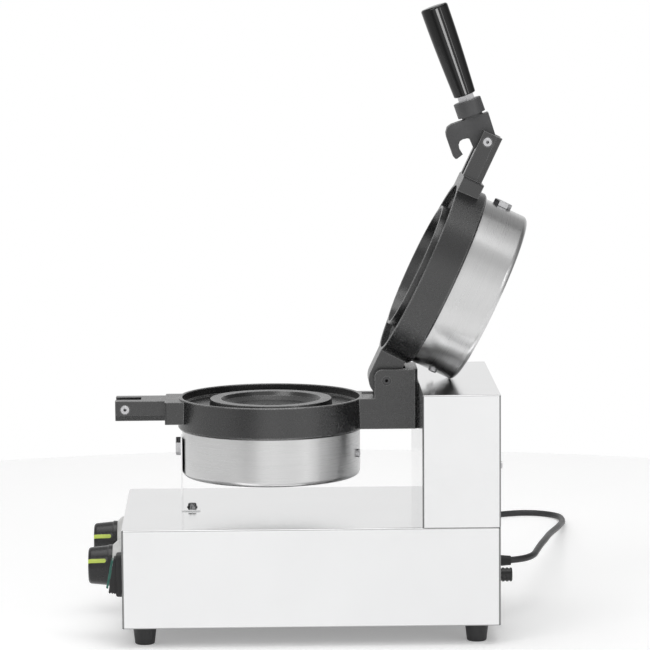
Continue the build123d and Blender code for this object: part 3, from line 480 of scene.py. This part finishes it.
class PRESS_OT_controls(bpy.types.Operator):
    """Knobs, bezels, rocker switch and the rear reset cap"""

    bl_idname = "press.controls"
    bl_label = "Controls"

    def execute(self, context):
        dress(gloss_plastic("knob_plastic", colours().black, 0.2, 0.32),
              "timer_knob", "thermostat_knob", "reset_cap")
        dress(gloss_plastic("pointer_line", colours().line, 0.3, 0.4),
              "timer_pointer", "thermostat_pointer")
        dress(gloss_plastic("bezel_plastic", colours().bezel, 0.3, 0.42),
              "timer_bezel", "thermostat_bezel")
        dress(matte_plastic("switch_plastic", colours().black), "switch_bezel", "switch_collar",
              "timer_body", "thermostat_body", "thermal_cutout", "cord_gland")
        dress(green_lens(colours()), "switch_paddle")
        dress(matte_plastic("terminal_plastic", (0.6, 0.57, 0.5)), "terminal_block")
        return {"FINISHED"}


class PRESS_OT_feet(bpy.types.Operator):
    """Four rubber feet"""

    bl_idname = "press.feet"
    bl_label = "Feet"

    def execute(self, context):
        dress(matte_plastic("foot_rubber", colours().rubber, 1500.0), "foot_front_left",
              "foot_front_right", "foot_rear_left", "foot_rear_right")
        return {"FINISHED"}


# The free lead's control points in millimetres, near the part's route: down to the table and
# back behind the machine.
LEAD = [(-30, 386, 56), (-30, 422, 56), (-114, 438, 56), (-184, 450.5, 51), (-264, 460, 41)]
LEAD += [(-369, 478.5, 30), (-460, 489, 17), (-545, 500, 5.5), (-600, 500, 3.5), (-625, 462, 3.5)]
LEAD += [(-602, 412, 3.5), (-545, 376, 3.5), (-470, 347, 3.5), (-390, 316, 3.5), (-318, 281, 3.5)]
COIL_CENTRE = (-0.205, 0.200)
COIL_INNER = 0.0296  # radius of its inmost turn
COIL_POINTS = 73  # sixteen a turn
TURN_GAP = 0.0008  # between turns beside each other
LAYER_GAP = 0.0007  # between the lower and the upper layer
ENTRY = radians(75.0)  # where the lead comes to the coil
LAYER_TURNS = 2.0
CLIMB_TURNS = 0.5
TURNS = 4.5
LEAD_IN = 0.060  # straight before the coil
PLUG_OUT = 0.052  # from the coil's end to the plug's tail
PLUG_HEIGHT = 0.0185
PLUG_EASE = 0.016  # straight at both ends of that run


def coil_line(t):
    """The coil's centre line at t turns: an inward spiral on the table, half a turn that climbs, then
    an outward one.

    Its radius falls by one step a turn, eases to the inmost one over the half turn, then grows again;
    its angle runs clockwise from the entry.
    """
    thick = sizes().cord_diameter
    step = thick + TURN_GAP
    climbed = LAYER_TURNS + CLIMB_TURNS
    rise = np.clip((t - LAYER_TURNS) / CLIMB_TURNS, 0, 1)
    smooth = rise * rise * (3 - 2 * rise)
    inward = sizes().coil_radius - step * np.minimum(t, LAYER_TURNS)
    r = inward + (COIL_INNER - inward) * smooth - 0.002 * np.sin(pi * rise)
    r = np.where(t > climbed, COIL_INNER + step * (t - climbed), r)
    phi = ENTRY - 2 * pi * t
    z = thick / 2 + (thick + LAYER_GAP) * smooth
    return np.stack([COIL_CENTRE[0] + r * np.cos(phi), COIL_CENTRE[1] + r * np.sin(phi), z], -1)


def heading(t):
    """The coil's direction at t turns: level, at right angles to the radius there, clockwise."""
    phi = ENTRY - 2 * pi * t
    return np.array([sin(phi), -cos(phi), 0.0])


class PRESS_OT_cord(bpy.types.Operator):
    """Mains lead with its put-away coil and plug"""

    bl_idname = "press.cord"
    bl_label = "Power cord"

    def execute(self, context):
        entry = coil_line(np.array(0.0))
        end = coil_line(np.array(TURNS))
        onward = heading(TURNS)
        plug = end + onward * PLUG_OUT + np.array([0, 0, PLUG_HEIGHT - end[2]])
        points = [np.array(LEAD) / 1000, [entry - heading(0.0) * LEAD_IN]]
        points += [coil_line(np.linspace(0.0, TURNS, COIL_POINTS)), [end + onward * PLUG_EASE]]
        points += [[plug - onward * PLUG_EASE], [plug]]
        line = np.vstack(points)
        line[:, 1] += SHIFT_Y
        curve = bpy.data.curves.new("mains_lead", "CURVE")
        curve.dimensions = "3D"
        spline = curve.splines.new("NURBS")
        spline.points.add(len(line) - 1)
        spline.points.foreach_set("co", np.hstack([line, np.ones((len(line), 1))]).ravel())
        spline.order_u = 3
        spline.use_endpoint_u = True
        curve.bevel_depth = sizes().cord_diameter / 2
        curve.bevel_resolution = 6
        curve.resolution_u = 10
        curve.use_fill_caps = True
        lead = bpy.data.objects.new("mains_lead", curve)
        context.scene.collection.objects.link(lead)
        curve.materials.append(cord_rubber(colours()))
        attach(lead, "base")
        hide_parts("power_cord", "power_cord_coil")
        dress(matte_plastic("plug_rubber", colours().rubber, 1800.0), "plug_body")
        p = Paint("plug_brass").set(Metallic=1.0)
        p.colour(p.noise(300.0, 3.0), [(0.3, (0.72, 0.56, 0.3)), (0.7, (0.8, 0.64, 0.36))])
        p.gloss(p.noise(500.0, 3.0), 0.18, 0.3)
        dress(p.material, "plug_pins")
        return {"FINISHED"}


# Brightness of the studio round the object: by azimuth from +X towards +Y in degrees, and by height.
AROUND = [(-180, 0.75), (-128, 0.64), (-92, 0.59), (-60, 0.57), (-45, 0.46), (-33, 0.26), (-24, 0.38)]
AROUND += [(-12, 0.80), (0, 0.90), (18, 0.78), (42, 0.82), (56, 0.74), (72, 0.56), (90, 0.34)]
AROUND += [(108, 0.20), (126, 0.16), (152, 0.50), (180, 0.75)]
HEIGHT = [(-90, 0.85), (-12, 0.85), (14, 0.85), (32, 0.5), (62, 0.6), (84, 1.0), (90, 1.0)]
STUDIO_LIGHT = 1.4
FLOOR_RADIUS = 1.15
FLOOR_GLOW = 0.25
# Softboxes: name, place, aim, width and height, power in watts.
SOFTBOXES = [("key_softbox", (2.2, -1.6, 2.4), (0, 0, 0.25), (1.6, 1.6), 22),
             ("top_softbox", (0, 0.2, 2.8), (0, 0, 0.2), (2.2, 2.2), 26),
             ("strip_softbox", (2.3, 2.3, 1.2), (0, 0, 0.5), (0.3, 1.2), 4),
             ("grip_softbox", (3.1, 0.95, 0.5), (0, 0, 0.55), (0.75, 1.3), 30)]
# The camera, from a fit to the corners of base and tower: place, turns in degrees, and its lens on a
# 36 mm sensor.
CAMERA_PLACE = (3.7336, -0.0568, 0.7631)
CAMERA_YAW, CAMERA_PITCH, CAMERA_ROLL = 1.147, 6.929, -0.371
CAMERA_LENS = 202.65


def studio_world():
    """A white studio to the camera, and softboxes with darker gaps between them to everything else."""
    world = bpy.data.worlds.new("studio")
    world.use_nodes = True
    tree = world.node_tree
    add, link = tree.nodes.new, tree.links.new
    way = add("ShaderNodeSeparateXYZ")
    link(add("ShaderNodeTexCoord").outputs["Generated"], way.inputs[0])
    angle = add("ShaderNodeMath")
    angle.operation = "ARCTAN2"
    link(way.outputs["Y"], angle.inputs[0])
    link(way.outputs["X"], angle.inputs[1])
    tilt = add("ShaderNodeMath")
    tilt.operation = "ARCSINE"
    link(way.outputs["Z"], tilt.inputs[0])
    levels = []
    for source, half, stops in ((angle, pi, AROUND), (tilt, pi / 2, HEIGHT)):
        share = add("ShaderNodeMapRange")
        share.inputs["From Min"].default_value = -half
        share.inputs["From Max"].default_value = half
        link(source.outputs[0], share.inputs["Value"])
        ramp = add("ShaderNodeValToRGB")
        ramp.color_ramp.interpolation = "EASE"
        elements = ramp.color_ramp.elements
        while len(elements) < len(stops):
            elements.new(0.5)
        for element, (degrees, level) in zip(elements, stops):
            element.position = (radians(degrees) / half + 1) / 2
            element.color = (level, level, level, 1)
        link(share.outputs["Result"], ramp.inputs["Fac"])
        levels.append(ramp.outputs["Color"])
    both = add("ShaderNodeVectorMath")
    both.operation = "MULTIPLY"
    link(levels[0], both.inputs[0])
    link(levels[1], both.inputs[1])
    studio = tree.nodes["Background"]
    studio.inputs["Strength"].default_value = STUDIO_LIGHT
    link(both.outputs[0], studio.inputs["Color"])
    seen = add("ShaderNodeMixShader")
    backdrop = add("ShaderNodeBackground")
    backdrop.inputs["Color"].default_value = (1, 1, 1, 1)
    link(add("ShaderNodeLightPath").outputs["Is Camera Ray"], seen.inputs[0])
    link(studio.outputs[0], seen.inputs[1])
    link(backdrop.outputs[0], seen.inputs[2])
    link(seen.outputs[0], tree.nodes["World Output"].inputs["Surface"])
    return world


class PRESS_OT_stage(bpy.types.Operator):
    """Pale floor, soft studio lights and the camera"""

    bl_idname = "press.stage"
    bl_label = "Stage"

    def execute(self, context):
        scene = context.scene
        scene.view_settings.view_transform = "Standard"
        floor = lathe("floor", [(0, 0), (FLOOR_RADIUS, 0)], Matrix(), around=128)
        p = Paint("pale_floor").set(Roughness=0.8, Emission_Color=(1, 1, 1, 1),
                                    Emission_Strength=FLOOR_GLOW)
        p.colour(p.noise(3.0), [(0.0, grey(0.86)), (1.0, grey(0.88))])
        floor.data.materials.append(p.material)
        scene.world = studio_world()
        for name, at, to, size, power in SOFTBOXES:
            light = bpy.data.lights.new(name, "AREA")
            light.shape = "RECTANGLE"
            light.size, light.size_y = size
            light.energy = power
            lamp = bpy.data.objects.new(name, light)
            lamp.location = at
            lamp.rotation_euler = (Vector(to) - Vector(at)).to_track_quat("-Z", "Y").to_euler()
            scene.collection.objects.link(lamp)
            if name == "grip_softbox":
                # the glossy grip alone takes this light, as one long soft streak
                receivers = bpy.data.collections.new("grip_softbox_receivers")
                receivers.objects.link(NODES["handle_grip"])
                lamp.light_linking.receiver_collection = receivers
        view = bpy.data.cameras.new("photo_view")
        view.sensor_width = 36
        view.lens = CAMERA_LENS
        view.clip_end = 50
        camera = bpy.data.objects.new("photo_view", view)
        yaw, pitch, roll = radians(CAMERA_YAW), radians(CAMERA_PITCH), radians(CAMERA_ROLL)
        ahead = Vector((-cos(pitch) * cos(yaw), cos(pitch) * sin(yaw), -sin(pitch)))
        side = Vector((sin(yaw), cos(yaw), 0))
        up = side.cross(ahead)
        across = side * cos(roll) + up * sin(roll)
        upward = -side * sin(roll) + up * cos(roll)
        matrix = Matrix((across, upward, -ahead)).transposed().to_4x4()
        matrix.translation = CAMERA_PLACE
        camera.matrix_world = matrix
        scene.collection.objects.link(camera)
        scene.camera = camera
        return {"FINISHED"}


class PRESS_PT_panel(bpy.types.Panel):
    """Lists the pieces and their settings"""

    bl_label = "Burger press"
    bl_idname = "PRESS_PT_panel"
    bl_space_type = "VIEW_3D"
    bl_region_type = "UI"
    bl_category = "Burger press"

    def draw(self, context):
        for group in (context.scene.press_sizes, context.scene.press_colours):
            column = self.layout.column(align=True)
            for key in group.__annotations__:
                column.prop(group, key)
        column = self.layout.column(align=True)
        for operator in OPERATORS:
            column.operator(operator.bl_idname)


OPERATORS = (PRESS_OT_stage, PRESS_OT_cord, PRESS_OT_housing, PRESS_OT_plates, PRESS_OT_fixings,
             PRESS_OT_latch, PRESS_OT_controls, PRESS_OT_feet)
CLASSES = (PRESS_PG_colours, PRESS_PG_sizes, *OPERATORS, PRESS_PT_panel)


def register():
    for item in CLASSES:
        bpy.utils.register_class(item)
    bpy.types.Scene.press_colours = bpy.props.PointerProperty(type=PRESS_PG_colours)
    bpy.types.Scene.press_sizes = bpy.props.PointerProperty(type=PRESS_PG_sizes)


def unregister():
    del bpy.types.Scene.press_sizes
    del bpy.types.Scene.press_colours
    for item in reversed(CLASSES):
        bpy.utils.unregister_class(item)


def main():
    register()
    bpy.ops.press.stage()
    bpy.ops.press.cord()
    bpy.ops.press.housing()
    bpy.ops.press.plates()
    bpy.ops.press.fixings()
    bpy.ops.press.latch()
    bpy.ops.press.controls()
    bpy.ops.press.feet()


if __name__ == "__main__":
    main()
